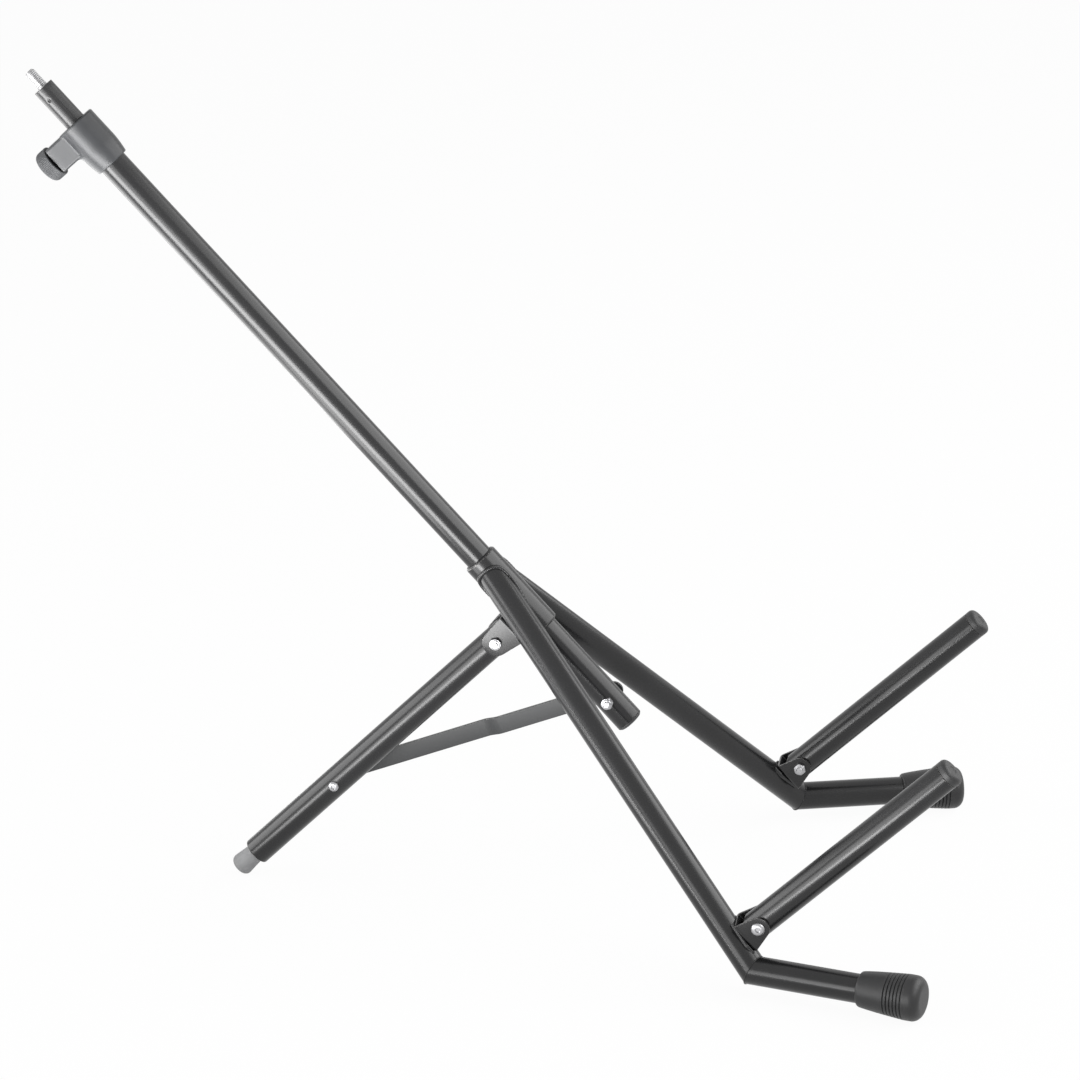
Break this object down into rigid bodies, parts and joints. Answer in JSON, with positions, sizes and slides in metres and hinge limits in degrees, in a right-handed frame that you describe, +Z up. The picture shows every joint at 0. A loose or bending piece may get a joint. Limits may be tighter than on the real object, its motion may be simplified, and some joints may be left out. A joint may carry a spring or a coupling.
{
  "type": "amp stand",
  "caption": "Folding tripod stand of round tubes that cradles a leaning amplifier on forward arms, with a telescopic post that carries a microphone boom.",
  "frame": {"origin": "on the floor under the middle of the stand's bounding box", "axes": "+Z up, front at -Y where the arms reach forwards, the post leans back towards +Y, and +X is the side of the rear leg that carries the brace bar"},
  "size_m": [0.5262, 0.8328, 0.7419],
  "materials": {
    "powder_coat": "gloss black powder coat on steel tube",
    "zinc": "bright zinc plate",
    "grey_plastic": "satin mid-grey moulded plastic",
    "nylon": "natural nylon",
    "rubber": "matt black rubber",
    "brass": "turned brass insert"
  },
  "bodies": {
    "post": {"mast_tube": "powder_coat", "mast_plug": "rubber", "hub_sleeve": "powder_coat", "leg_bracket": "powder_coat", "leg_pivot_bolt": "zinc", "leg_pivot_nut": "zinc", "hook_stud": "zinc", "hook_nut": "zinc", "clutch_collar": "grey_plastic", "clutch_liner": "nylon", "clamp_nut": "brass", "front_leg_left": "powder_coat", "front_leg_right": "powder_coat", "foot_tube_left": "powder_coat", "foot_tube_right": "powder_coat", "front_cap_left": "rubber", "front_cap_right": "rubber", "arm_bracket_left": "powder_coat", "arm_bracket_right": "powder_coat", "arm_bolt_left": "zinc", "arm_bolt_right": "zinc", "arm_nut_left": "zinc", "arm_nut_right": "zinc"},
    "upper_tube": {"inner_mast": "powder_coat", "thread_stud": "zinc", "inner_guide": "nylon"},
    "clamp_pad": {"clamp_pad": "nylon"},
    "clamp_knob": {"clamp_knob": "grey_plastic", "clamp_screw": "zinc", "clamp_washer": "zinc"},
    "rear_leg": {"rear_leg": "powder_coat", "leg_top_plug": "nylon", "rear_foot": "rubber", "leg_pivot_washers": "nylon", "brace_bolt": "zinc", "brace_spacer": "zinc", "brace_nut": "zinc"},
    "brace": {"leg_brace": "powder_coat"},
    "arm_left": {"support_arm_left": "powder_coat", "arm_plug_left": "nylon", "arm_cap_left": "rubber", "arm_washers_left": "nylon"},
    "arm_right": {"support_arm_right": "powder_coat", "arm_plug_right": "nylon", "arm_cap_right": "rubber", "arm_washers_right": "nylon"}
  },
  "joints": [
    {"name": "height_slide", "type": "slide", "parent": "post", "child": "upper_tube", "axis": [0, 0.6743, 0.7385], "range_m": [-0.035, 0.36]},
    {"name": "clamp_travel", "type": "slide", "parent": "post", "child": "clamp_pad", "axis": [0, 0.7385, -0.6743], "range_m": [0, 0.002]},
    {"name": "knob_turn", "type": "hinge", "parent": "clamp_pad", "child": "clamp_knob", "pos_m": [0, 0.39121, 0.66224], "axis": [0, 0.7385, -0.6743], "range_deg": [0, 721]},
    {"name": "rear_leg_fold", "type": "hinge", "parent": "post", "child": "rear_leg", "pos_m": [0, 0.0068, 0.23754], "axis": [-1, 0, 0], "range_deg": [0, 88.3]},
    {"name": "brace_swing", "type": "hinge", "parent": "rear_leg", "child": "brace", "pos_m": [0.0235, 0.15545, 0.09349], "axis": [-1, 0, 0], "range_deg": [0, 19.65]},
    {"name": "arm_fold_left", "type": "hinge", "parent": "post", "child": "arm_left", "pos_m": [-0.18931, -0.24709, 0.05856], "axis": [-1, 0, 0], "range_deg": [0, 90]},
    {"name": "arm_fold_right", "type": "hinge", "parent": "post", "child": "arm_right", "pos_m": [0.18931, -0.24709, 0.05856], "axis": [-1, 0, 0], "range_deg": [0, 90]}
  ],
  "couplings": [
    {"joint": "knob_turn", "follows": "clamp_travel", "rad_per_m": 6283.2}
  ]
}
